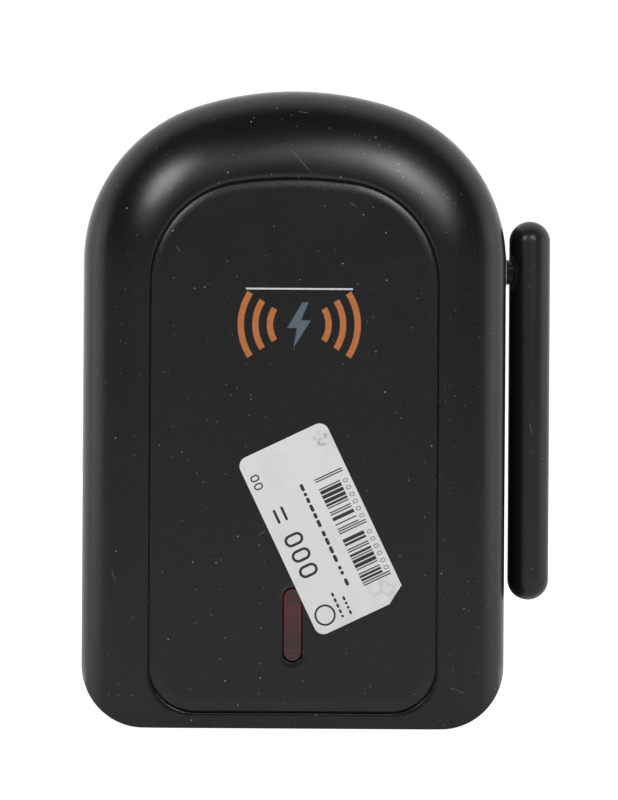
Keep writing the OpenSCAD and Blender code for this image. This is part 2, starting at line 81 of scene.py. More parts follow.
def math2(tree, operation, first, second):
    node = addNode(tree, "Math", {"operation": operation})
    for socket, value in zip(node.inputs, (first, second)):
        if isinstance(value, (int, float)):
            socket.default_value = value
        else:
            tree.links.new(value, socket)
    return node.outputs[0]


def ramp(tree, value, low, high, first=0.0, last=1.0):
    node = addNode(tree, "MapRange", {"clamp": True},
                   {"From Min": low, "From Max": high, "To Min": first, "To Max": last})
    tree.links.new(value, node.inputs["Value"])
    return node.outputs["Result"]


def grainGroup():
    # spark-eroded mould texture: two sizes of fine pits, with a slow change of sheen; where these lighten a
    # base colour, the slow patches are painted sheen and the fine specks are painted glints
    group, given, result = newGroup("mouldGrain", [("Point", "NodeSocketVector", (0, 0, 0)),
                                                   ("Pitch", "NodeSocketFloat", 3200.0)],
                                    [("Height", "NodeSocketFloat"), ("GlossAndPaintedSheen", "NodeSocketFloat"),
                                     ("GlossAndPaintedGlint", "NodeSocketFloat")])
    fine = addNode(group, "TexNoise", None, {"Detail": 3.0, "Roughness": 0.65})
    pits = addNode(group, "TexVoronoi", {"feature": "SMOOTH_F1"}, {"Smoothness": 0.4})
    slow = addNode(group, "TexNoise", None, {"Scale": 45.0, "Detail": 4.0})
    for node in (fine, pits, slow):
        group.links.new(given["Point"], node.inputs["Vector"])
    group.links.new(given["Pitch"], fine.inputs["Scale"])
    group.links.new(math2(group, "MULTIPLY", given["Pitch"], 0.8), pits.inputs["Scale"])
    height = math2(group, "ADD", fine.outputs["Fac"], math2(group, "MULTIPLY", pits.outputs["Distance"], 0.6))
    group.links.new(height, result["Height"])
    group.links.new(slow.outputs["Fac"], result["GlossAndPaintedSheen"])
    group.links.new(ramp(group, fine.outputs["Fac"], 0.42, 0.62), result["GlossAndPaintedGlint"])
    return group


def dustGroup():
    # pale specks and short fibres that lie on a handled black surface
    group, given, result = newGroup("dustSpecks", [("Point", "NodeSocketVector", (0, 0, 0)),
                                                   ("Amount", "NodeSocketFloat", 0.2)],
                                    [("Specks", "NodeSocketFloat")])
    total = None
    for scale, size in ((430.0, 0.075), (1000.0, 0.1)):
        cells = addNode(group, "TexVoronoi", {"feature": "F1"}, {"Scale": scale})
        group.links.new(given["Point"], cells.inputs["Vector"])
        dot = ramp(group, cells.outputs["Distance"], size, size * 0.45)
        pick = addNode(group, "SeparateColor")
        group.links.new(cells.outputs["Color"], pick.inputs["Color"])
        kept = math2(group, "LESS_THAN", pick.outputs["Red"], given["Amount"])
        bright = math2(group, "MULTIPLY", kept, pick.outputs["Green"])
        speck = math2(group, "MULTIPLY", dot, bright)
        total = speck if total is None else math2(group, "MAXIMUM", total, speck)
    group.links.new(total, result["Specks"])
    return group


def scratchGroup():
    # one hairline scratch, straight but for a slight waver, that fades towards its ends
    group, given, result = newGroup("hairline", [("Point", "NodeSocketVector", (0, 0, 0)),
                                                 ("Middle", "NodeSocketVector", (0, 0, 0)),
                                                 ("Turn", "NodeSocketFloat", 0.0),
                                                 ("Half Length", "NodeSocketFloat", 0.003),
                                                 ("Half Width", "NodeSocketFloat", 0.0001)],
                                    [("Line", "NodeSocketFloat")])
    move = addNode(group, "VectorMath", {"operation": "SUBTRACT"})
    turn = addNode(group, "VectorRotate", {"rotation_type": "Y_AXIS"})
    split = addNode(group, "SeparateXYZ")
    waver = addNode(group, "TexNoise", None, {"Scale": 700.0, "Detail": 2.0})
    group.links.new(given["Point"], move.inputs[0])
    group.links.new(given["Middle"], move.inputs[1])
    group.links.new(move.outputs[0], turn.inputs["Vector"])
    group.links.new(given["Turn"], turn.inputs["Angle"])
    group.links.new(turn.outputs[0], split.inputs[0])
    group.links.new(given["Point"], waver.inputs["Vector"])
    side = math2(group, "MULTIPLY", math2(group, "SUBTRACT", waver.outputs["Fac"], 0.5), 0.0004)
    across = math2(group, "ABSOLUTE", math2(group, "ADD", split.outputs["Z"], side), 0.0)
    along = math2(group, "ABSOLUTE", split.outputs["X"], 0.0)
    thin = ramp(group, math2(group, "DIVIDE", across, given["Half Width"]), 1.0, 0.3)
    ends = ramp(group, math2(group, "DIVIDE", along, given["Half Length"]), 1.0, 0.5)
    broken = ramp(group, waver.outputs["Fac"], 0.32, 0.55, 0.25, 1.0)
    group.links.new(math2(group, "MULTIPLY", math2(group, "MULTIPLY", thin, ends), broken), result["Line"])
    return group


def edgeGroup():
    # how far a bevelled normal leans away from the true one: the corners that hands polish
    group, given, result = newGroup("edgeWear", [("Point", "NodeSocketVector", (0, 0, 0)),
                                                 ("Width", "NodeSocketFloat", 0.0004)],
                                    [("Wear", "NodeSocketFloat")])
    soft = addNode(group, "Bevel", {"samples": 4})
    geometry = addNode(group, "NewGeometry")
    dot = addNode(group, "VectorMath", {"operation": "DOT_PRODUCT"})
    patchy = addNode(group, "TexNoise", None, {"Scale": 260.0, "Detail": 3.0})
    group.links.new(given["Width"], soft.inputs["Radius"])
    group.links.new(soft.outputs["Normal"], dot.inputs[0])
    group.links.new(geometry.outputs["Normal"], dot.inputs[1])
    group.links.new(given["Point"], patchy.inputs["Vector"])
    lean = ramp(group, dot.outputs["Value"], 0.985, 0.86)
    broken = ramp(group, patchy.outputs["Fac"], 0.35, 0.6)
    group.links.new(math2(group, "MULTIPLY", lean, broken), result["Wear"])
    return group


mouldGrain = grainGroup()
dustSpecks = dustGroup()
hairline = scratchGroup()
edgeWear = edgeGroup()
print("shader groups made")


# finishes

def newFinish(name, color, roughness, **sockets):
    material = bpy.data.materials.new(name)
    material.use_nodes = True
    tree = material.node_tree
    shader = tree.nodes["Principled BSDF"]
    shader.inputs["Base Color"].default_value = (*color, 1.0)
    shader.inputs["Roughness"].default_value = roughness
    for label, value in sockets.items():
        shader.inputs[label.replace("_", " ")].default_value = value
    coordinates = addNode(tree, "TexCoord")
    return material, tree, shader, coordinates.outputs["Object"]


def useGroup(tree, group, point, **values):
    node = tree.nodes.new("ShaderNodeGroup")
    node.node_tree = group
    tree.links.new(point, node.inputs["Point"])
    for label, value in values.items():
        node.inputs[label].default_value = value
    return node


def blendColor(tree, factor, first, second):
    mix = addNode(tree, "Mix", {"data_type": "RGBA"})
    for socket, value in ((mix.inputs[0], factor), (mix.inputs[6], first), (mix.inputs[7], second)):
        if isinstance(value, tuple):
            socket.default_value = (*value, 1.0)
        elif isinstance(value, float):
            socket.default_value = value
        else:
            tree.links.new(value, socket)
    return mix.outputs[2]


def bump(tree, shader, height, distance, strength=1.0):
    node = addNode(tree, "Bump", None, {"Distance": distance, "Strength": strength})
    tree.links.new(height, node.inputs["Height"])
    tree.links.new(node.outputs["Normal"], shader.inputs["Normal"])


def mouldedPlastic(name, color, roughness, pitch=4600.0, dust=0.25, scratches=()):
    # scratches are given by their middle, their turn in degrees and their length in millimetres
    look = {"paintedSheenGain": 1.3, "paintedGlintGain": 2.1, "wear": 0.35, "wornGain": 3.0, "wornLift": 0.02, "wornPolish": 0.12,
            "scratch": (0.13, 0.13, 0.132), "dust": (0.5, 0.49, 0.47), "sheenRough": 0.025,
            "grainRough": 0.03, "depth": 0.000014}
    material, tree, shader, point = newFinish(name, color, roughness, Specular_IOR_Level=0.45)
    grain = useGroup(tree, mouldGrain, point, Pitch=pitch)
    specks = useGroup(tree, dustSpecks, point, Amount=dust)
    worn = useGroup(tree, edgeWear, point, Width=0.0004)
    # painted sheen and painted glints: the base colour is lightened in slow patches and in fine specks,
    # besides the real change of roughness below
    base = blendColor(tree, grain.outputs["GlossAndPaintedSheen"], color, tuple(c * look["paintedSheenGain"] for c in color))
    base = blendColor(tree, grain.outputs["GlossAndPaintedGlint"], base, tuple(c * look["paintedGlintGain"] for c in color))
    base = blendColor(tree, math2(tree, "MULTIPLY", worn.outputs["Wear"], look["wear"]), base,
                      tuple(min(1.0, c * look["wornGain"] + look["wornLift"]) for c in color))
    flat = addNode(tree, "VectorMath", {"operation": "MULTIPLY"})
    flat.inputs[1].default_value = (1.0, 0.0, 1.0)
    tree.links.new(point, flat.inputs[0])
    for x, z, turn, length in scratches:
        line = useGroup(tree, hairline, flat.outputs[0], Middle=(x * mm, 0.0, z * mm),
                        Turn=math.radians(-turn))
        line.inputs["Half Length"].default_value = length / 2 * mm
        base = blendColor(tree, line.outputs["Line"], base, look["scratch"])
    base = blendColor(tree, specks.outputs["Specks"], base, look["dust"])
    tree.links.new(base, shader.inputs["Base Color"])
    rough = ramp(tree, grain.outputs["GlossAndPaintedSheen"], 0.3, 0.7, roughness - look["sheenRough"],
                 roughness + look["sheenRough"])
    rough = math2(tree, "ADD", rough, ramp(tree, grain.outputs["GlossAndPaintedGlint"], 0.0, 1.0,
                                           look["grainRough"], -look["grainRough"]))
    rough = math2(tree, "SUBTRACT", rough, math2(tree, "MULTIPLY", worn.outputs["Wear"], look["wornPolish"]))
    tree.links.new(rough, shader.inputs["Roughness"])
    bump(tree, shader, grain.outputs["Height"], look["depth"])
    return material


def plainPlastic(name, color, roughness, coat=0.0):
    material, tree, shader, point = newFinish(name, color, roughness, Coat_Weight=coat)
    grain = useGroup(tree, mouldGrain, point, Pitch=1800.0)
    # painted sheen: the base colour is lightened in slow patches
    base = blendColor(tree, grain.outputs["GlossAndPaintedSheen"], tuple(c * 0.85 for c in color), color)
    tree.links.new(base, shader.inputs["Base Color"])
    tree.links.new(ramp(tree, grain.outputs["GlossAndPaintedSheen"], 0.3, 0.7, roughness - 0.06, roughness + 0.06),
                   shader.inputs["Roughness"])
    bump(tree, shader, grain.outputs["Height"], 0.000006)
    return material


def platedSteel(name, color, roughness, stretch=(1.0, 1.0, 24.0)):
    material, tree, shader, point = newFinish(name, color, roughness, Metallic=1.0)
    place = addNode(tree, "Mapping", {"vector_type": "POINT"}, {"Scale": stretch})
    drawn = addNode(tree, "TexNoise", None, {"Scale": 420.0, "Detail": 4.0})
    tint = addNode(tree, "TexNoise", None, {"Scale": 160.0, "Detail": 3.0})
    tree.links.new(point, place.inputs["Vector"])
    tree.links.new(place.outputs["Vector"], drawn.inputs["Vector"])
    tree.links.new(point, tint.inputs["Vector"])
    base = blendColor(tree, tint.outputs["Fac"], tuple(c * 0.8 for c in color), color)
    tree.links.new(base, shader.inputs["Base Color"])
    tree.links.new(ramp(tree, drawn.outputs["Fac"], 0.3, 0.7, roughness - 0.08, roughness + 0.1),
                   shader.inputs["Roughness"])
    bump(tree, shader, drawn.outputs["Fac"], 0.000004)
    return material


def circuitBoard(name, color, copper):
    # solder mask with raised tracks under it: the edges of square cells, kept in patches
    material, tree, shader, point = newFinish(name, color, 0.35, Coat_Weight=0.3)
    tracks = addNode(tree, "TexBrick", {"offset": 0.5},
                     {"Scale": 260.0, "Mortar Size": 0.09, "Brick Width": 1.3, "Row Height": 0.42})
    swap = addNode(tree, "Mapping", {"vector_type": "POINT"}, {"Rotation": (math.pi / 2, 0.0, 0.0)})
    patch = addNode(tree, "TexNoise", None, {"Scale": 130.0, "Detail": 1.0})
    tree.links.new(point, swap.inputs["Vector"])
    tree.links.new(swap.outputs["Vector"], tracks.inputs["Vector"])
    tree.links.new(point, patch.inputs["Vector"])
    where = ramp(tree, patch.outputs["Fac"], 0.46, 0.5)
    line = math2(tree, "MULTIPLY", tracks.outputs["Fac"], where)
    tree.links.new(blendColor(tree, line, color, copper), shader.inputs["Base Color"])
    bump(tree, shader, line, 0.00004)
    return material


def paperFinish(name, color, fibre=(0.6, 0.6, 0.59), smudge=None, crease=None):
    # smudge and crease are each given by a middle and a radius
    look = {"smudge": (0.09, 0.09, 0.09), "creaseShade": (0.34, 0.34, 0.33), "creaseShadeStrength": 0.35, "foldDepth": 6.0,
            "wander": 0.0012}
    material, tree, shader, point = newFinish(name, color, 0.62)
    fibres = addNode(tree, "TexNoise", None, {"Scale": 2600.0, "Detail": 5.0, "Roughness": 0.7})
    stain = addNode(tree, "TexNoise", None, {"Scale": 110.0, "Detail": 5.0})
    blots = addNode(tree, "TexNoise", None, {"Scale": 900.0, "Detail": 4.0, "Roughness": 0.6})
    folds = addNode(tree, "TexVoronoi", {"feature": "DISTANCE_TO_EDGE"}, {"Scale": 340.0, "Randomness": 1.0})
    for node in (fibres, stain, blots):
        tree.links.new(point, node.inputs["Vector"])
    wander = addNode(tree, "VectorMath", {"operation": "MULTIPLY_ADD"})
    tree.links.new(blots.outputs["Color"], wander.inputs[0])
    wander.inputs[1].default_value = (look["wander"],) * 3
    tree.links.new(point, wander.inputs[2])
    tree.links.new(wander.outputs[0], folds.inputs["Vector"])

    def near(middle, radius):
        offset = addNode(tree, "VectorMath", {"operation": "DISTANCE"})
        tree.links.new(point, offset.inputs[0])
        offset.inputs[1].default_value = middle
        return ramp(tree, offset.outputs["Value"], radius, radius * 0.25)

    grey = ramp(tree, stain.outputs["Fac"], 0.5, 0.85, 0.0, 0.5)
    base = blendColor(tree, grey, color, fibre)
    height = fibres.outputs["Fac"]
    if smudge:
        spot = math2(tree, "MULTIPLY", near(*smudge), ramp(tree, blots.outputs["Fac"], 0.47, 0.57))
        base = blendColor(tree, spot, base, look["smudge"])
    if crease:
        creaseShadeAndDent = math2(tree, "MULTIPLY", near(*crease), ramp(tree, folds.outputs["Distance"], 0.09, 0.0))
        # painted shade: the paper is darkened along the crease lines, besides being dented there
        base = blendColor(tree, math2(tree, "MULTIPLY", creaseShadeAndDent, look["creaseShadeStrength"]), base, look["creaseShade"])
        height = math2(tree, "SUBTRACT", height, math2(tree, "MULTIPLY", creaseShadeAndDent, look["foldDepth"]))
    tree.links.new(base, shader.inputs["Base Color"])
    bump(tree, shader, height, 0.00001)
    return material


def inkFinish(name, color):
    # screen print: thins out in fine pinholes, where the plastic shows through
    material, tree, shader, point = newFinish(name, color, 0.5)
    holes = addNode(tree, "TexNoise", None, {"Scale": 3800.0, "Detail": 2.0})
    tree.links.new(point, holes.inputs["Vector"])
    thin = ramp(tree, holes.outputs["Fac"], 0.55, 0.75)
    tree.links.new(blendColor(tree, thin, color, tuple(c * 0.45 for c in color)), shader.inputs["Base Color"])
    bump(tree, shader, holes.outputs["Fac"], 0.000005)
    return material


def lensFinish():
    # dark red window with painted light: a lighter core where the light guide ends behind it, a lighter line
    # at the guide's step, and a painted highlight along its rim that grows towards the top
    look = {"deep": (0.032, 0.003, 0.004), "paintedGlowColor": (0.1, 0.008, 0.011), "rim": (0.3, 0.004, 0.01),
            "guideZ": 23.4 * mm, "guideR": 4.5 * mm, "stepZ": 16.0 * mm, "step": 0.2 * mm,
            "half": 1.85 * mm, "reach": 5.6 * mm, "rimWidth": 0.5 * mm}
    middle = (lensLow.z + lensHigh.z) / 2
    material, tree, shader, point = newFinish("lensRed", look["deep"], 0.24,
                                              Coat_Weight=0.4, Coat_Roughness=0.12)
    split = addNode(tree, "SeparateXYZ")
    tree.links.new(point, split.inputs[0])

    def away(centre, spare):
        # distance from a level line's middle, or from a point when nothing is spared
        up = math2(tree, "ABSOLUTE", math2(tree, "SUBTRACT", split.outputs["Z"], centre), 0.0)
        up = math2(tree, "MAXIMUM", math2(tree, "SUBTRACT", up, spare), 0.0)
        squares = math2(tree, "ADD", math2(tree, "MULTIPLY", up, up),
                        math2(tree, "MULTIPLY", split.outputs["X"], split.outputs["X"]))
        return math2(tree, "SQRT", squares, 0.0)

    cloudy = addNode(tree, "TexNoise", None, {"Scale": 420.0, "Detail": 2.0})
    tree.links.new(point, cloudy.inputs["Vector"])
    # painted light: the window is lightened around the end of the light guide
    paintedGlow = ramp(tree, away(look["guideZ"], 0.0), look["guideR"], 0.0, 0.0, 0.8)
    paintedGlow = math2(tree, "MULTIPLY", paintedGlow, ramp(tree, cloudy.outputs["Fac"], 0.3, 0.7, 0.7, 1.0))
    # painted highlight along the rim, fading towards the bottom
    rim = ramp(tree, away(middle, look["reach"]), look["half"] - look["rimWidth"], look["half"])
    paintedHighlightTowardsTop = ramp(tree, split.outputs["Z"], middle - 7 * mm, middle + 6 * mm, 0.1, 1.0)
    # painted light: a lighter line at the guide's step
    line = math2(tree, "ABSOLUTE", math2(tree, "SUBTRACT", split.outputs["Z"], look["stepZ"]), 0.0)
    base = blendColor(tree, paintedGlow, look["deep"], look["paintedGlowColor"])
    base = blendColor(tree, ramp(tree, line, look["step"], 0.0, 0.0, 0.8), base, look["paintedGlowColor"])
    base = blendColor(tree, math2(tree, "MULTIPLY", rim, paintedHighlightTowardsTop), base, look["rim"])
    tree.links.new(base, shader.inputs["Base Color"])
    bump(tree, shader, cloudy.outputs["Fac"], 0.00001, 0.4)
    return material


def cellFinish(name, low, high, raisedTop):
    # printed jacket: dark body, a copper coloured band at the raised end, bare steel at both ends
    look = {"body": (0.02, 0.021, 0.027), "band": (0.52, 0.25, 0.09), "line": (0.5, 0.5, 0.48),
            "steel": (0.6, 0.59, 0.57), "scuff": (0.05, 0.05, 0.05), "bandLength": 15 * mm,
            "lineLength": 15.9 * mm, "raisedRim": 2.1 * mm, "flatRim": 0.6 * mm}
    material, tree, shader, point = newFinish(name, look["body"], 0.3, Coat_Weight=0.25)
    split = addNode(tree, "SeparateXYZ")
    streak = addNode(tree, "TexNoise", None, {"Scale": 300.0, "Detail": 3.0})
    tree.links.new(point, split.inputs[0])
    tree.links.new(point, streak.inputs["Vector"])
    down = math2(tree, "SUBTRACT", high, split.outputs["Z"])
    up = math2(tree, "SUBTRACT", split.outputs["Z"], low)
    fromRaised, fromFlat = (down, up) if raisedTop else (up, down)
    steel = math2(tree, "MAXIMUM", math2(tree, "LESS_THAN", fromRaised, look["raisedRim"]),
                  math2(tree, "LESS_THAN", fromFlat, look["flatRim"]))
    base = blendColor(tree, math2(tree, "LESS_THAN", fromRaised, look["lineLength"]),
                      look["body"], look["line"])
    base = blendColor(tree, math2(tree, "LESS_THAN", fromRaised, look["bandLength"]), base, look["band"])
    base = blendColor(tree, ramp(tree, streak.outputs["Fac"], 0.5, 0.9, 0.0, 0.25), base, look["scuff"])
    base = blendColor(tree, steel, base, look["steel"])
    tree.links.new(base, shader.inputs["Base Color"])
    tree.links.new(ramp(tree, steel, 0.0, 1.0, 0.35, 1.0), shader.inputs["Metallic"])
    tree.links.new(ramp(tree, streak.outputs["Fac"], 0.3, 0.7, 0.24, 0.36), shader.inputs["Roughness"])
    return material


casePlastic = mouldedPlastic("casePlastic", (0.0042, 0.0042, 0.0044), 0.22, dust=0.34,
                             scratches=((1.0, 117.1, 48, 8.5), (1.5, 127.2, 4, 2.6),
                                        (-37, 31, 70, 3), (34, 8, 20, 4)))
doorPlastic = mouldedPlastic("doorPlastic", (0.0046, 0.0046, 0.0048), 0.25, dust=0.24,
                             scratches=((-24, 98.6, 62, 1.8), (-6.4, 40.3, -35, 2.4),
                                        (20, 33, -20, 2.2), (12, 108, 30, 2)))
antennaPlastic = mouldedPlastic("antennaPlastic", (0.0048, 0.0048, 0.005), 0.3, pitch=4000.0, dust=0.12,
                                scratches=((49.6, 62, 80, 3),))
innerPlastic = plainPlastic("innerPlastic", (0.02, 0.02, 0.021), 0.42)
buttonPlastic = mouldedPlastic("buttonPlastic", (0.05, 0.05, 0.055), 0.45, dust=0.1)
socketPlastic = plainPlastic("socketPlastic", (0.016, 0.016, 0.017), 0.3, coat=0.1)
nylon = plainPlastic("naturalNylon", (0.62, 0.6, 0.54), 0.42)
chipEpoxy = plainPlastic("chipEpoxy", (0.018, 0.018, 0.019), 0.5)
capacitorSleeve = plainPlastic("capacitorSleeve", (0.03, 0.04, 0.11), 0.32, coat=0.3)
diodeResin = plainPlastic("diodeResin", (0.42, 0.02, 0.015), 0.18, coat=0.5)
redInsulation = plainPlastic("redInsulation", (0.36, 0.015, 0.012), 0.4)
blackInsulation = plainPlastic("blackInsulation", (0.014, 0.014, 0.014), 0.4)
nickel = platedSteel("nickelPlate", (0.66, 0.64, 0.6), 0.26)
zincScrew = platedSteel("zincScrew", (0.6, 0.6, 0.58), 0.34, (24.0, 1.0, 1.0))
copperRod = platedSteel("copperRod", (0.72, 0.36, 0.2), 0.3)
boardGreen = circuitBoard("boardGreen", (0.008, 0.085, 0.035), (0.03, 0.2, 0.08))
boardBlue = circuitBoard("boardBlue", (0.008, 0.03, 0.12), (0.03, 0.08, 0.26))
labelShape = {"centre": (5.85 * mm, 41.2 * mm), "turn": math.radians(25.5), "ink": 0.012 * mm,
              "smudge": ((7.9 * mm, 0, 16.9 * mm), 1.9 * mm), "crease": ((6.4 * mm, 0, -17.0 * mm), 4.5 * mm)}
labelPlace = (Matrix.Translation((labelShape["centre"][0], labelLow.y, labelShape["centre"][1]))
              @ Matrix.Rotation(-labelShape["turn"], 4, "Y"))
labelPaper = paperFinish("labelPaper", (0.8, 0.8, 0.8),
                         smudge=(labelPlace @ Vector(labelShape["smudge"][0]), labelShape["smudge"][1]),
                         crease=(labelPlace @ Vector(labelShape["crease"][0]), labelShape["crease"][1]))
ratingFoil = paperFinish("ratingFoil", (0.42, 0.43, 0.44), (0.3, 0.3, 0.31))
blackInk = inkFinish("blackInk", (0.02, 0.02, 0.022))
orangeInk = inkFinish("orangeInk", (0.52, 0.155, 0.035))
greyInk = inkFinish("greyBlueInk", (0.09, 0.13, 0.165))
whiteInk = inkFinish("whiteInk", (0.72, 0.73, 0.78))
greyPrint = inkFinish("greyPrint", (0.2, 0.2, 0.21))
lensRed = lensFinish()
print("finishes made")


# mesh helpers

def addPiece(bm, name, material, body, replaces=(), bevel=0.0, steps=2, limit=38.0):
    mesh = bpy.data.meshes.new(name)
    bmesh.ops.remove_doubles(bm, verts=bm.verts, dist=2e-7)
    for face in bm.faces:
        face.smooth = True
    bm.to_mesh(mesh)
    bm.free()
    piece = bpy.data.objects.new(name, mesh)
    bpy.context.scene.collection.objects.link(piece)
    mesh.materials.append(material)
    mesh.set_sharp_from_angle(angle=math.radians(limit))
    if bevel > 0:
        soften(piece, bevel, steps, limit)
    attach(piece, body)
    if replaces:
        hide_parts(*replaces)
    return piece


def soften(piece, width, steps=2, limit=38.0):
    edge = piece.modifiers.new("softEdges", "BEVEL")
    edge.width = width
    edge.segments = steps
    edge.limit_method = "ANGLE"
    edge.angle_limit = math.radians(limit)
    edge.use_clamp_overlap = True
    edge.harden_normals = True


def nodeCopy(node):
    # a merged copy of a CAD node, with its flat faces joined up
    bm = bmesh.new()
    bm.from_mesh(frame["nodes"][node].data)
    bmesh.ops.remove_doubles(bm, verts=bm.verts, dist=1e-6)
    bmesh.ops.dissolve_limit(bm, angle_limit=math.radians(0.6), verts=bm.verts, edges=bm.edges)
    return bm


def addRound(bm, start, end, radius, sides=40):
    # a round bar between two points
    start = Vector(start)
    end = Vector(end)
    along = end - start
    lean = Vector((0, 0, 1)).rotation_difference(along).to_matrix().to_4x4()
    made = bmesh.ops.create_cone(bm, cap_ends=True, segments=sides, radius1=radius, radius2=radius,
                                 depth=along.length)
    bmesh.ops.transform(bm, matrix=Matrix.Translation((start + end) / 2) @ lean, verts=made["verts"])


def addBlock(bm, low, high):
    low = Vector(low)
    high = Vector(high)
    made = bmesh.ops.create_cube(bm, size=1.0)
    bmesh.ops.scale(bm, vec=high - low, verts=made["verts"])
    bmesh.ops.translate(bm, vec=(low + high) / 2, verts=made["verts"])


def combine(piece, other, operation):
    # joins another mesh to a piece or cuts it away, for good
    mesh = bpy.data.meshes.new("tool")
    other.to_mesh(mesh)
    other.free()
    tool = bpy.data.objects.new("tool", mesh)
    bpy.context.scene.collection.objects.link(tool)
    change = piece.modifiers.new("change", "BOOLEAN")
    change.operation = operation
    change.solver = "EXACT"
    change.object = tool
    result = bmesh.new()
    result.from_object(piece, bpy.context.evaluated_depsgraph_get())
    result.to_mesh(piece.data)
    result.free()
    piece.modifiers.remove(change)
    bpy.data.objects.remove(tool)


def firstRing(bm, points):
    ring = [bm.verts.new(p) for p in points]
    for a, b in zip(ring, ring[1:] + ring[:1]):
        bm.edges.new((a, b))
    return ring


def nextRing(bm, ring, points):
    # pulls a ring of edges out to a new line of points, leaving a band of faces behind it
    edges = [bm.edges.get((a, b)) for a, b in zip(ring, ring[1:] + ring[:1])]
    made = bmesh.ops.extrude_edge_only(bm, edges=edges)
    place = {vert: i for i, vert in enumerate(ring)}
    following = [None] * len(ring)
    for vert in (g for g in made["geom"] if isinstance(g, bmesh.types.BMVert)):
        for edge in vert.link_edges:
            partner = edge.other_vert(vert)
            if partner in place:
                following[place[partner]] = vert
    for vert, point in zip(following, points):
        vert.co = point
    return following


def fillBetween(bm, *rings):
    edges = [bm.edges.get((a, b)) for ring in rings for a, b in zip(ring, ring[1:] + ring[:1])]
    bmesh.ops.triangle_fill(bm, use_beauty=True, edges=edges)


# the case's curves

caseShape = {
    "halfWidth": caseHigh.x, "top": caseHigh.z, "front": caseLow.y, "split": caseHigh.y,
    "crown": 66 * mm, "haunch": 34 * mm, "corner": 13.2 * mm, "wall": 2.2 * mm,
    "shoulder": 18.4 * mm, "bigRadius": 30 * mm, "smallRadius": 9 * mm,
}
doorShape = {
    "halfWidth": doorHigh.x, "top": doorHigh.z, "bottom": doorLow.z, "thick": 2 * mm,
    "crown": 83.2 * mm, "haunch": 20.6 * mm, "corner": 9.3 * mm, "gap": 0.35 * mm,
    "ledgeDepth": 2.3 * mm, "ledgeWidth": 1.8 * mm, "ledgeThick": 1.2 * mm, "rim": 1.6 * mm,
    "edge": 0.16 * mm, "lipGap": 0.4 * mm, "lipWidth": 1.2 * mm,
}
ringSteps = {"corner": 16, "haunch": 20, "crown": 10}
bottomParts = (0.78, 0.84, 0.9, 0.95)


def archArcs(shape):
    # where the haunch is centred, how far the crown turns from the middle, and where the sides start
    across = shape["halfWidth"] - shape["haunch"]
    turn = math.asin(across / (shape["crown"] - shape["haunch"]))
    spring = shape["top"] - shape["crown"] + (shape["crown"] - shape["haunch"]) * math.cos(turn)
    return across, turn, spring


def archPoints(shape, inset, lower):
    # lower holds the points from the bottom's middle to the top of the corner, on the right
    across, turn, spring = archArcs(shape)
    right = list(lower)
    for i in range(ringSteps["haunch"]):
        a = (math.pi / 2 - turn) * i / ringSteps["haunch"]
        r = shape["haunch"] - inset
        right.append((across + r * math.cos(a), spring + r * math.sin(a)))
    for i in range(ringSteps["crown"]):
        a = math.pi / 2 - turn * (1 - i / ringSteps["crown"])
        r = shape["crown"] - inset
        right.append((r * math.cos(a), shape["top"] - shape["crown"] + r * math.sin(a)))
    return right + [(0.0, shape["top"] - inset)] + [(-x, z) for x, z in reversed(right)]


def cornerPoints(middle, low, radius, lastAngle):
    flat = [(middle[0] * part, low) for part in bottomParts]
    angles = [lastAngle * i / ringSteps["corner"] for i in range(ringSteps["corner"] + 1)]
    return flat + [(middle[0] + radius * math.sin(a), middle[1] - radius * math.cos(a)) for a in angles]


def caseOutline(inset, base=0.0):
    # the shoulder stops at the bottom corners, which cut it off sharply
    corner = caseShape["corner"]
    edge = caseShape["halfWidth"] - corner
    last = math.asin(min(1.0, (corner - inset) / (corner - base)))
    lower = cornerPoints((edge, corner), base, corner - base, last)
    return archPoints(caseShape, inset, lower + [(caseShape["halfWidth"] - inset, corner)])


def doorOutline(inset):
    corner = doorShape["corner"]
    middle = (doorShape["halfWidth"] - corner, doorShape["bottom"] + corner)
    lower = cornerPoints(middle, doorShape["bottom"] + inset, corner - inset, math.pi / 2)
    return archPoints(doorShape, inset, lower + [(doorShape["halfWidth"] - inset, middle[1] + 0.2 * mm)])


def fromSide(x, z):
    # distance from a point on the front to the nearest side or to the arch
    across, turn, spring = archArcs(caseShape)
    x = abs(x)
    if z <= spring:
        return caseShape["halfWidth"] - x
    crownZ = z - caseShape["top"] + caseShape["crown"]
    if x < math.tan(turn) * crownZ:
        return caseShape["crown"] - math.hypot(x, crownZ)
    return caseShape["haunch"] - math.hypot(x - across, z - spring)


def shoulderTurn():
    run = caseShape["shoulder"] - caseShape["smallRadius"]
    return math.asin(run / (caseShape["bigRadius"] - caseShape["smallRadius"]))


def skinDepth(u, skin=0.0):
    # how far back the front's skin is at a distance in from the side
    big = caseShape["bigRadius"]
    small = caseShape["smallRadius"]
    turn = shoulderTurn()
    sideDepth = caseShape["front"] + big - (big - small) * math.cos(turn)
    if u >= caseShape["shoulder"]:
        return caseShape["front"] + skin
    if u > small - (small - skin) * math.sin(turn):
        return caseShape["front"] + big - math.sqrt((big - skin) ** 2 - (caseShape["shoulder"] - u) ** 2)
    return sideDepth - math.sqrt(max(0.0, (small - skin) ** 2 - (small - u) ** 2))


def onSkin(outline, skin=0.0, sink=0.0):
    return [Vector((x, skinDepth(fromSide(x, z), skin) + sink, z)) for x, z in outline]


def atDepth(outline, y):
    return [Vector((x, y, z)) for x, z in outline]


def between(first, second, share):
    return [(a[0] + (b[0] - a[0]) * share, a[1] + (b[1] - a[1]) * share) for a, b in zip(first, second)]


def shoulderStations(skin, lastInset, smallSteps=14, bigSteps=6):
    # insets along the shoulder's section, from the side to where the front's own rings start
    small = caseShape["smallRadius"]
    turn = shoulderTurn()
    insets = []
    for i in range(smallSteps + 1):
        a = math.pi / 2 + (turn - math.pi / 2) * i / smallSteps
        insets.append(small - (small - skin) * math.sin(a))
    first = insets[-1]
    insets += [first + (lastInset - first) * i / bigSteps for i in range(1, bigSteps + 1)]
    return insets


# front shell

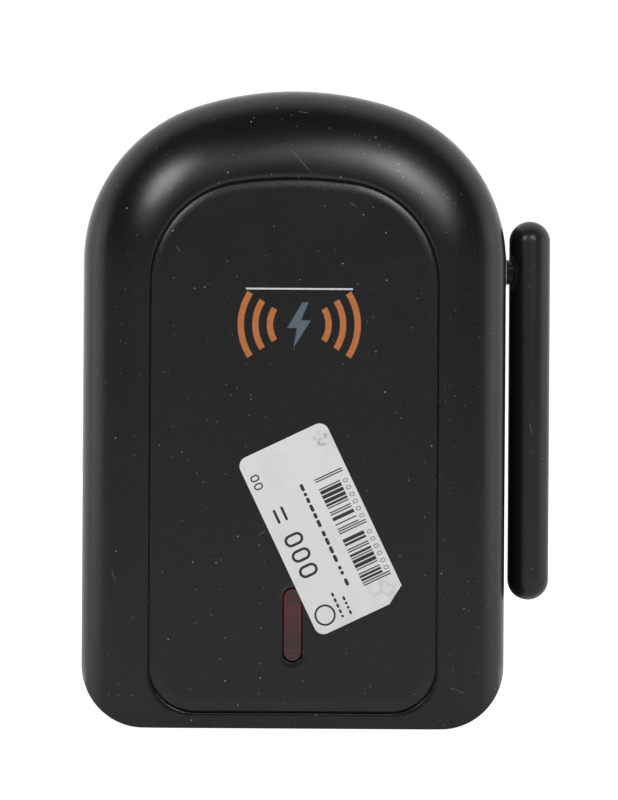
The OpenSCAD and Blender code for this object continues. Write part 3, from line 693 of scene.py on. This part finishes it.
def makeFrontShell():
    look = {"lastInset": 10 * mm, "rings": 8, "edge": 0.22 * mm, "softEdge": 0.14 * mm,
            "screwHead": 2.75 * mm, "bossWall": 0.65 * mm, "bossSink": 0.6 * mm,
            "bush": 3.8 * mm, "bushWall": 2 * mm, "bushStart": 0.8 * mm, "bushEnd": 1.2 * mm,
            "bushHole": (30 * mm, 50 * mm), "socketHole": 3.15 * mm, "socketDepth": 3.1 * mm,
            "buttonHole": 2.7 * mm, "holeZ": (-1 * mm, 3 * mm)}
    wall = caseShape["wall"]
    opening = -doorShape["gap"]
    ledge = caseShape["front"] + doorShape["ledgeDepth"]
    ledgeBack = ledge + doorShape["ledgeThick"]
    outer = []
    outer.append(atDepth(caseOutline(0.0), caseShape["split"]))
    for inset in shoulderStations(0.0, look["lastInset"]):
        outer.append(atDepth(caseOutline(inset), skinDepth(inset)))
    start = caseOutline(look["lastInset"])
    mouth = doorOutline(opening - look["edge"])
    for i in range(look["rings"] + 1):
        outer.append(onSkin(between(start, mouth, i / look["rings"])))
    outer.append(onSkin(doorOutline(opening - 0.3 * look["edge"]), sink=0.3 * look["edge"]))
    outer.append(onSkin(doorOutline(opening), sink=look["edge"]))
    outer.append(atDepth(doorOutline(opening), ledge))
    outer.append(atDepth(doorOutline(doorShape["ledgeWidth"]), ledge))
    outer.append(atDepth(doorOutline(doorShape["ledgeWidth"]), ledgeBack))
    rim = [(x, max(z, wall)) for x, z in doorOutline(opening - doorShape["rim"])]
    outer.append(atDepth(rim, ledgeBack))
    outer.append(onSkin(rim, skin=wall))
    inside = caseOutline(look["lastInset"], wall)
    outer.append(onSkin(inside, skin=wall))
    for inset in reversed(shoulderStations(wall, look["lastInset"], 8, 3)):
        outer.append(atDepth(caseOutline(max(inset, wall), wall), skinDepth(inset, wall)))
    outer.append(atDepth(caseOutline(wall, wall), caseShape["split"]))
    outer.append(outer[0])
    bm = bmesh.new()
    ring = firstRing(bm, outer[0])
    for points in outer[1:]:
        ring = nextRing(bm, ring, points)
    bmesh.ops.remove_doubles(bm, verts=bm.verts, dist=1e-6)
    bmesh.ops.dissolve_degenerate(bm, dist=1e-7, edges=bm.edges)
    bmesh.ops.recalc_face_normals(bm, faces=bm.faces)
    shell = addPiece(bm, "frontShell", casePlastic, "root", ["front_shell"])

    bosses = bmesh.new()
    screwLow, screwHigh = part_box("case_screws")
    head = look["screwHead"]
    for x in (screwLow.x + head, screwHigh.x - head):
        for z in (screwLow.z + head, screwHigh.z - head):
            start = skinDepth(fromSide(x, z), wall) - look["bossSink"]
            addRound(bosses, (x, start, z), (x, caseShape["split"], z), head + look["bossWall"])
    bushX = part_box("pivot_bush")[0].x + look["bushStart"]
    addRound(bosses, (bushX, pivot.y, pivot.z), (caseShape["halfWidth"] - look["bushEnd"], pivot.y, pivot.z),
             look["bush"] + look["bushWall"])
    combine(shell, bosses, "UNION")

    holes = bmesh.new()
    for node in ("sensor_socket_1", "sensor_socket_2", "sensor_socket_3", "pair_button"):
        low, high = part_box(node)
        centre = (low + high) / 2
        radius = look["buttonHole"] if node == "pair_button" else look["socketHole"]
        depth = centre.y if node == "pair_button" else high.y - look["socketDepth"]
        addRound(holes, (centre.x, depth, look["holeZ"][0]), (centre.x, depth, look["holeZ"][1]), radius, 64)
    addRound(holes, (look["bushHole"][0], pivot.y, pivot.z), (look["bushHole"][1], pivot.y, pivot.z),
             look["bush"], 64)
    combine(shell, holes, "DIFFERENCE")
    shell.data.set_sharp_from_angle(angle=math.radians(38))
    soften(shell, look["softEdge"], 2, 42.0)


# battery door

def stadium(halfWidth, halfLength, grow, centre, sides=16):
    r = halfWidth + grow
    reach = halfLength - halfWidth
    points = []
    for end, first in ((1, 0.0), (-1, math.pi)):
        for i in range(sides + 1):
            a = first + math.pi * i / sides
            points.append((centre[0] + r * math.cos(a), centre[1] + end * reach + r * math.sin(a)))
    return points


def makeDoor():
    look = {"edge": doorShape["edge"], "flatInset": 5 * mm, "slotEdge": 0.12 * mm, "slotRing": 1.2 * mm,
            "roll": 2.4 * mm, "drop": 0.33 * mm, "rollInsets": (3.4, 2.4, 2.1, 1.8, 1.5, 1.2, 0.9, 0.6, 0.35),
            "slotHalf": (2.1 * mm, 7.75 * mm), "slotCentre": (0.0, (lensLow.z + lensHigh.z) / 2)}
    front = caseShape["front"]
    back = front + doorShape["thick"]
    lipOuter = doorShape["ledgeWidth"] + doorShape["lipGap"]
    lipInner = lipOuter + doorShape["lipWidth"]

    def rolled(inset):
        return look["drop"] * max(0.0, 1 - inset / look["roll"]) ** 2

    bm = bmesh.new()
    ring = firstRing(bm, atDepth(doorOutline(look["flatInset"]), front))
    inner = ring
    for inset in look["rollInsets"]:
        ring = nextRing(bm, ring, atDepth(doorOutline(inset * mm), front + rolled(inset * mm)))
    for inset, sink in ((look["edge"], 0.0), (0.3 * look["edge"], 0.3 * look["edge"]), (0.0, look["edge"])):
        ring = nextRing(bm, ring, atDepth(doorOutline(inset), front + rolled(inset) + sink))
    ring = nextRing(bm, ring, atDepth(doorOutline(0.0), back))
    ring = nextRing(bm, ring, atDepth(doorOutline(lipOuter), back))
    ring = nextRing(bm, ring, atDepth(doorOutline(lipOuter), doorHigh.y))
    ring = nextRing(bm, ring, atDepth(doorOutline(lipInner), doorHigh.y))
    last = nextRing(bm, ring, atDepth(doorOutline(lipInner), back))

    def slot(grow, depth):
        return atDepth(stadium(*look["slotHalf"], grow, look["slotCentre"]), depth)

    edge = look["slotEdge"]
    slotFront = firstRing(bm, slot(look["slotRing"], front))
    ring = nextRing(bm, slotFront, slot(edge, front))
    ring = nextRing(bm, ring, slot(0.3 * edge, front + 0.3 * edge))
    ring = nextRing(bm, ring, slot(0.0, front + edge))
    slotBack = nextRing(bm, ring, slot(0.0, back))
    fillBetween(bm, inner, slotFront)
    fillBetween(bm, last, slotBack)
    bmesh.ops.remove_doubles(bm, verts=bm.verts, dist=1e-6)
    bmesh.ops.recalc_face_normals(bm, faces=bm.faces)
    addPiece(bm, "doorPanel", doorPlastic, "door", ["battery_door"])


makeFrontShell()
makeDoor()
print("case front and door made")


# back shell and antenna, from their CAD shapes with softened edges

def softCopy(node, name, material, body, width, steps=3):
    addPiece(nodeCopy(node), name, material, body, [node], width, steps)


softCopy("back_shell", "backShell", casePlastic, "root", 0.3 * mm)
softCopy("antenna_front_half", "antennaFront", antennaPlastic, "antenna", 0.1 * mm, 2)
softCopy("antenna_rear_half", "antennaRear", antennaPlastic, "antenna", 0.1 * mm, 2)


# printed mark on the door

def makeMark():
    look = {"y": caseShape["front"], "thick": 0.02 * mm, "centre": (1.0 * mm, 83.2 * mm),
            "arcs": (5.4 * mm, 8.4 * mm, 11.4 * mm), "line": 1.3 * mm, "half": math.radians(33),
            "steps": 18, "rule": (22 * mm, 0.35 * mm), "ruleUp": 7.2 * mm,
            "bolt": ((0.6, 4.6), (-2.5, -0.7), (-0.5, -0.7), (-1.2, -4.8), (2.4, 0.9), (0.35, 0.9),
                     (1.9, 4.6))}
    cx, cz = look["centre"]

    def plate(bm, points):
        face = bm.faces.new([bm.verts.new((x, look["y"] - look["thick"], z)) for x, z in points])
        made = bmesh.ops.extrude_face_region(bm, geom=[face])
        verts = [g for g in made["geom"] if isinstance(g, bmesh.types.BMVert)]
        bmesh.ops.translate(bm, vec=(0, look["thick"], 0), verts=verts)

    def arc(radius, side):
        angles = [side + look["half"] * (2 * i / look["steps"] - 1) for i in range(look["steps"] + 1)]
        return [(cx + radius * math.cos(a), cz + radius * math.sin(a)) for a in angles]

    waves = bmesh.new()
    for radius in look["arcs"]:
        for side in (0.0, math.pi):
            plate(waves, arc(radius, side) + arc(radius + look["line"], side)[::-1])
    bmesh.ops.recalc_face_normals(waves, faces=waves.faces)
    addPiece(waves, "markWaves", orangeInk, "door")

    bolt = bmesh.new()
    plate(bolt, [(cx + x * mm, cz + z * mm) for x, z in look["bolt"]])
    bmesh.ops.recalc_face_normals(bolt, faces=bolt.faces)
    addPiece(bolt, "markBolt", greyInk, "door")

    rule = bmesh.new()
    length, height = look["rule"]
    low = cz + look["ruleUp"]
    plate(rule, [(cx - length / 2, low), (cx + length / 2, low),
                 (cx + length / 2, low + height), (cx - length / 2, low + height)])
    bmesh.ops.recalc_face_normals(rule, faces=rule.faces)
    addPiece(rule, "markRule", whiteInk, "door")


makeMark()


# price label

def roundBar(bm, x0, z0, x1, z1, line=0.0, corner=100.0):
    # a round-ended bar, or the outline of one where a line width is given
    r = min(corner, (x1 - x0) / 2, (z1 - z0) / 2)
    steps = 8  # in each quarter turn
    centres = ((x1 - r, z1 - r), (x0 + r, z1 - r), (x0 + r, z0 + r), (x1 - r, z0 + r))
    outer = []
    inner = []
    for quarter, (cx, cz) in enumerate(centres):
        for i in range(steps + 1):
            a = (quarter + i / steps) * math.pi / 2
            outer.append(Vector((cx + r * math.cos(a), 0, cz + r * math.sin(a))))
            inner.append(Vector((cx + (r - line) * math.cos(a), 0, cz + (r - line) * math.sin(a))))
    before = set(bm.verts)
    ring = firstRing(bm, outer)
    if line:
        nextRing(bm, ring, inner)
    else:
        edges = [bm.edges.get((a, b)) for a, b in zip(ring, ring[1:] + ring[:1])]
        bmesh.ops.contextual_create(bm, geom=edges)
    bmesh.ops.scale(bm, vec=(mm, mm, mm), verts=[v for v in bm.verts if v not in before])


def raisePrint(bm, place, thick):
    # flat shapes get the thickness of an ink film
    bmesh.ops.remove_doubles(bm, verts=bm.verts, dist=1e-7)
    made = bmesh.ops.extrude_face_region(bm, geom=bm.faces[:])
    lifted = [g for g in made["geom"] if isinstance(g, bmesh.types.BMVert)]
    bmesh.ops.translate(bm, vec=(0, -thick, 0), verts=lifted)
    bmesh.ops.recalc_face_normals(bm, faces=bm.faces)
    bmesh.ops.transform(bm, matrix=place, verts=bm.verts)


def makeLabelPrint():
    # bars and dashes without a meaning, in the label's own turned frame, in millimetres
    look = {"barX": (2.9, 7.66), "guardX": 9.05, "module": 0.25, "guards": (-14.4, -2.7, 9.0), "seed": 7,
            "wordZ": (-12.9, 9.4), "wordHalf": 0.35, "smallHalf": 0.25,
            "smallWords": ((-3.7, -18.4, -13.0), (-1.9, -18.5, -14.4)),
            "priceX": (-8.1, -4.1), "priceZ": (-7.9, -4.4, -0.9), "priceHigh": 2.6, "priceLine": 0.55,
            "equalX": (-7.6, -5.9), "equalZ": (4.6, 7.7), "cornerX": (-9.0, -7.1), "cornerZ": (12.7, 14.5),
            "cornerHigh": 1.4, "cornerLine": 0.3, "emblem": (-9.1, -18.6, -4.7, -14.2), "emblemLine": 0.4,
            "digitX": (8.15, 9.25), "digitHigh": 0.8, "digitLine": 0.16, "digits": 6,
            "digitRuns": ((-13.2, -3.4), (-1.4, 8.2))}
    draw = random.Random(look["seed"])
    module = look["module"]
    bm = bmesh.new()

    def bar(x0, z0, x1, z1):
        addBlock(bm, (x0 * mm, -labelShape["ink"], z0 * mm), (x1 * mm, 0, z1 * mm))

    for z in look["guards"]:
        bar(look["barX"][0], z, look["guardX"], z + module)
        bar(look["barX"][0], z + 2 * module, look["guardX"], z + 3 * module)
    for first, last in zip(look["guards"], look["guards"][1:]):
        z = first + 4 * module
        while z < last - 4 * module:
            wide = draw.choice((1, 1, 2, 2, 3, 4)) * module
            bar(look["barX"][0], z, look["barX"][1], min(z + wide, last - module))
            z += wide + draw.choice((1, 1, 1, 2, 3)) * module
    bmesh.ops.transform(bm, matrix=labelPlace, verts=bm.verts)
    addPiece(bm, "labelBars", blackInk, "door")

    words = bmesh.new()
    z, end = look["wordZ"]
    while z < end:
        run = draw.choice((0.8, 1.2, 1.6))
        roundBar(words, -look["wordHalf"], z, look["wordHalf"], z + run)
        z += run + draw.choice((0.35, 0.35, 0.9))
    for x, z, end in look["smallWords"]:
        while z < end:
            run = draw.choice((0.6, 0.9))
            roundBar(words, x - look["smallHalf"], z, x + look["smallHalf"], z + run)
            z += run + 0.35
    for z in look["priceZ"]:
        roundBar(words, look["priceX"][0], z, look["priceX"][1], z + look["priceHigh"],
                 line=look["priceLine"])
    for x in look["equalX"]:
        roundBar(words, x, look["equalZ"][0], x + look["priceLine"], look["equalZ"][1])
    for z in look["cornerZ"]:
        roundBar(words, look["cornerX"][0], z, look["cornerX"][1], z + look["cornerHigh"],
                 line=look["cornerLine"])
    roundBar(words, *look["emblem"], line=look["emblemLine"])
    raisePrint(words, labelPlace, labelShape["ink"])
    addPiece(words, "labelWords", blackInk, "door")

    digits = bmesh.new()
    for first, last in look["digitRuns"]:
        for i in range(look["digits"]):
            z = first + (last - first) * i / look["digits"]
            roundBar(digits, look["digitX"][0], z, look["digitX"][1], z + look["digitHigh"],
                     line=look["digitLine"])
    raisePrint(digits, labelPlace, labelShape["ink"])
    addPiece(digits, "labelDigits", greyPrint, "door")


makeLabelPrint()
print("print and label made")


# cells: a spun steel can in its printed jacket

def makeCell(node, name, raisedTop):
    look = {"nub": 3.6 * mm, "nubHigh": 1.5 * mm, "crimp": 1.1 * mm, "step": 0.35 * mm, "recess": 0.4 * mm}
    low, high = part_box(node)
    radius = (high.x - low.x) / 2
    length = high.z - low.z
    body = length - look["nubHigh"]
    profile = ((0, 0), (radius - 2.6 * mm, 0), (radius - 2.2 * mm, 0.3 * mm),
               (radius - look["crimp"], 0.3 * mm), (radius - 0.4 * mm, 0.1 * mm),
               (radius, 0.6 * mm), (radius, body - 1.3 * mm),
               (radius - 0.25 * mm, body - 0.9 * mm), (radius - look["crimp"], body - look["step"]),
               (radius - 1.6 * mm, body - 0.1 * mm), (radius - 2.2 * mm, body - look["recess"]),
               (look["nub"] + 0.5 * mm, body - look["recess"]), (look["nub"], body),
               (look["nub"], length - 0.3 * mm), (look["nub"] - 0.3 * mm, length), (0, length))
    bm = bmesh.new()
    line = [bm.verts.new((x, 0, z)) for x, z in profile]
    edges = [bm.edges.new(pair) for pair in zip(line, line[1:])]
    bmesh.ops.spin(bm, geom=line + edges, axis=(0, 0, 1), cent=(0, 0, 0), angle=math.tau, steps=72,
                   use_merge=True)
    bmesh.ops.remove_doubles(bm, verts=bm.verts, dist=1e-7)
    if not raisedTop:
        bmesh.ops.rotate(bm, matrix=Matrix.Rotation(math.pi, 3, "X"), verts=bm.verts)
        bmesh.ops.translate(bm, vec=(0, 0, length), verts=bm.verts)
    bmesh.ops.translate(bm, vec=((low.x + high.x) / 2, (low.y + high.y) / 2, low.z), verts=bm.verts)
    bmesh.ops.recalc_face_normals(bm, faces=bm.faces)
    finish = cellFinish(name + "Jacket", low.z, high.z, raisedTop)
    addPiece(bm, name, finish, "root", [node], 0.12 * mm, 2)


makeCell("cell_left", "cellLeft", True)
makeCell("cell_right", "cellRight", False)


# screws, with their cross recesses cut

def crossHeads(node, name, headRadius, headY, depth):
    look = {"arm": 0.5 * mm, "reach": 0.62 * headRadius}
    low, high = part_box(node)
    screws = addPiece(nodeCopy(node), name, zincScrew, "root", [node])
    for halfX, halfZ in ((look["reach"], look["arm"]), (look["arm"], look["reach"])):
        recess = bmesh.new()
        for x in (low.x + headRadius, high.x - headRadius):
            for z in (low.z + headRadius, high.z - headRadius):
                addBlock(recess, (x - halfX, headY - depth, z - halfZ), (x + halfX, headY + depth, z + halfZ))
        combine(screws, recess, "DIFFERENCE")
    screws.data.set_sharp_from_angle(angle=math.radians(38))
    soften(screws, 0.1 * mm, 2)


crossHeads("case_screws", "caseScrews", 2.75 * mm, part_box("case_screws")[1].y, 1.3 * mm)
crossHeads("board_screws", "boardScrews", 2.1 * mm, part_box("board_screws")[0].y, 0.9 * mm)


# rating label: a frame and rows of dashes, with no words

def makeRatingPrint():
    look = {"seed": 3, "margin": 1, "frame": 0.18, "corner": 1.2, "rows": 6, "firstRow": 3.6, "pitch": 2.6,
            "indent": 2.6, "ends": (5, 9), "half": 0.3}
    low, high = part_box("rating_label")
    draw = random.Random(look["seed"])
    width = (high.x - low.x) / 2 / mm
    height = (high.z - low.z) / 2 / mm
    right = width - look["margin"]
    top = height - look["margin"]
    bm = bmesh.new()
    roundBar(bm, -right, -top, right, top, line=look["frame"], corner=look["corner"])
    for row in range(look["rows"]):
        z = height - look["firstRow"] - row * look["pitch"]
        x = -width + look["indent"]
        while x < width - look["ends"][row % 2]:
            run = draw.choice((0.9, 1.4, 2.2))
            roundBar(bm, x, z - look["half"], x + run, z + look["half"])
            x += run + draw.choice((0.4, 0.4, 1.0))
    middle = (low + high) / 2
    place = Matrix.Translation((middle.x, high.y, middle.z)) @ Matrix.Rotation(math.pi, 4, "Z")
    raisePrint(bm, place, labelShape["ink"])
    addPiece(bm, "ratingPrint", blackInk, "root")


makeRatingPrint()
print("cells, screws and rating print made")


# CAD nodes that keep their shape

def dressNode(node, material, width):
    thing = frame["nodes"][node]
    thing.data.materials.clear()
    thing.data.materials.append(material)
    weld = thing.modifiers.new("weld", "WELD")
    weld.merge_threshold = 1e-6
    if width > 0:
        flat = thing.modifiers.new("joinFlats", "DECIMATE")
        flat.decimate_type = "DISSOLVE"
        flat.angle_limit = math.radians(0.6)
        soften(thing, width)


# each node's finish and the width of its softened edges in millimetres
dressed = {
    "price_label": (labelPaper, 0.0), "indicator_lens": (lensRed, 0.12), "battery_tray": (innerPlastic, 0.2),
    "negative_spring": (nickel, 0.0),
    "positive_contact": (nickel, 0.06), "bridge_contact": (nickel, 0.06), "bridge_spring": (nickel, 0.0),
    "main_board": (boardGreen, 0.08), "radio_module": (boardBlue, 0.05), "radio_can": (nickel, 0.15),
    "crystal": (nickel, 0.4), "microcontroller": (chipEpoxy, 0.05), "status_led": (diodeResin, 0.2),
    "capacitors": (capacitorSleeve, 0.3), "surface_parts": (chipEpoxy, 0.06),
    "sensor_socket_1": (socketPlastic, 0.12), "sensor_socket_2": (socketPlastic, 0.12),
    "sensor_socket_3": (socketPlastic, 0.12), "tact_switch": (chipEpoxy, 0.12),
    "switch_plunger": (nylon, 0.1), "pair_button": (buttonPlastic, 0.25),
    "antenna_element": (copperRod, 0.1), "antenna_hub": (antennaPlastic, 0.1),
    "pivot_bush": (nylon, 0.1), "friction_washer": (nylon, 0.05), "hub_clip": (nickel, 0.05),
    "antenna_lead": (blackInsulation, 0.0), "battery_lead_red": (redInsulation, 0.0),
    "battery_lead_black": (blackInsulation, 0.0), "rating_label": (ratingFoil, 0.0),
}
for node, (material, width) in dressed.items():
    dressNode(node, material, width * mm)
print("inner parts dressed")


# studio

def makeStudio():
    look = {"distance": 0.9, "scale": 0.2059 * mm, "rows": 800, "aim": (3.1 * mm, 67.7 * mm),
            "roll": math.radians(0.36), "paper": (0.3, 0.3, 0.3),
            "roomLow": 0.12, "roomHigh": 0.0, "white": 1.05, "floorGlow": 0.5, "floorWhite": 0.95,
            "floorDrop": 0.05 * mm, "lampAim": (0.0, 0.0, 66 * mm)}
    # each lamp's turn from the right, its lean away from the front, its distance, size and watts
    lamps = {"softboxLeft": (132, 36, 0.7, (0.13, 0.13), 0.85),
             "softboxRight": (62, 32, 0.7, (0.13, 0.13), 0.8),
             "softboxFarRight": (41, 36, 0.7, (0.13, 0.13), 0.4),
             "softboxTop": (90, 26, 0.7, (0.13, 0.1), 0.12),
             "sideLeft": (180, 80, 0.8, (0.5, 0.6), 0.7),
             "sideRight": (0, 80, 0.8, (0.5, 0.6), 0.6)}
    floorMesh = bmesh.new()
    bmesh.ops.create_grid(floorMesh, x_segments=1, y_segments=1, size=3.0)
    bmesh.ops.translate(floorMesh, vec=(0, 0, -look["floorDrop"]), verts=floorMesh.verts)
    mesh = bpy.data.meshes.new("floor")
    floorMesh.to_mesh(mesh)
    floorMesh.free()
    floor = bpy.data.objects.new("floor", mesh)
    bpy.context.scene.collection.objects.link(floor)
    material, tree, shader, point = newFinish("floorPaper", look["paper"], 0.8)
    shader.inputs["Emission Color"].default_value = (1.0, 1.0, 1.0, 1.0)
    seen = addNode(tree, "LightPath")  # the paper burns out to white, yet lights the object softly
    tree.links.new(ramp(tree, seen.outputs["Is Camera Ray"], 0.0, 1.0, look["floorGlow"], look["floorWhite"]),
                   shader.inputs["Emission Strength"])
    mesh.materials.append(material)

    world = bpy.data.worlds.new("studio")
    bpy.context.scene.world = world
    world.use_nodes = True
    tree = world.node_tree
    background = tree.nodes["Background"]
    # white paper behind the object and beside it, and a room in front that darkens upwards
    sky = addNode(tree, "TexCoord")
    split = addNode(tree, "SeparateXYZ")
    tree.links.new(sky.outputs["Generated"], split.inputs[0])
    front = ramp(tree, split.outputs["Z"], 0.0, 0.3, look["roomLow"], look["roomHigh"])
    behind = ramp(tree, split.outputs["Y"], -0.55, 0.05)
    white = math2(tree, "MULTIPLY", behind, look["white"])
    dark = math2(tree, "MULTIPLY", math2(tree, "SUBTRACT", 1.0, behind), front)
    tree.links.new(math2(tree, "ADD", white, dark), background.inputs["Color"])

    def areaLight(name, place, target, size, watts):
        data = bpy.data.lights.new(name, "AREA")
        data.shape = "RECTANGLE"
        data.size, data.size_y = size
        data.energy = watts
        lamp = bpy.data.objects.new(name, data)
        lamp.location = place
        lamp.visible_camera = False
        lamp.rotation_euler = (Vector(target) - Vector(place)).to_track_quat("-Z", "Y").to_euler()
        bpy.context.scene.collection.objects.link(lamp)

    aim = Vector(look["lampAim"])
    for name, (side, lean, reach, size, watts) in lamps.items():
        turn = math.radians(side)
        off = math.radians(lean)
        away = Vector((math.sin(off) * math.cos(turn), -math.cos(off), math.sin(off) * math.sin(turn)))
        areaLight(name, aim + away * reach, aim, size, watts)

    data = bpy.data.cameras.new("camera")
    data.sensor_width = 36.0
    data.sensor_fit = "AUTO"
    data.lens = look["distance"] * data.sensor_width / (look["rows"] * look["scale"])
    data.clip_start = 0.01
    camera = bpy.data.objects.new("camera", data)
    place = Vector((look["aim"][0], caseShape["front"] - look["distance"], look["aim"][1]))
    camera.matrix_world = (Matrix.Translation(place) @ Matrix.Rotation(math.pi / 2, 4, "X")
                           @ Matrix.Rotation(look["roll"], 4, "Z"))
    bpy.context.scene.collection.objects.link(camera)
    bpy.context.scene.camera = camera
    bpy.context.scene.view_settings.view_transform = "Standard"


makeStudio()
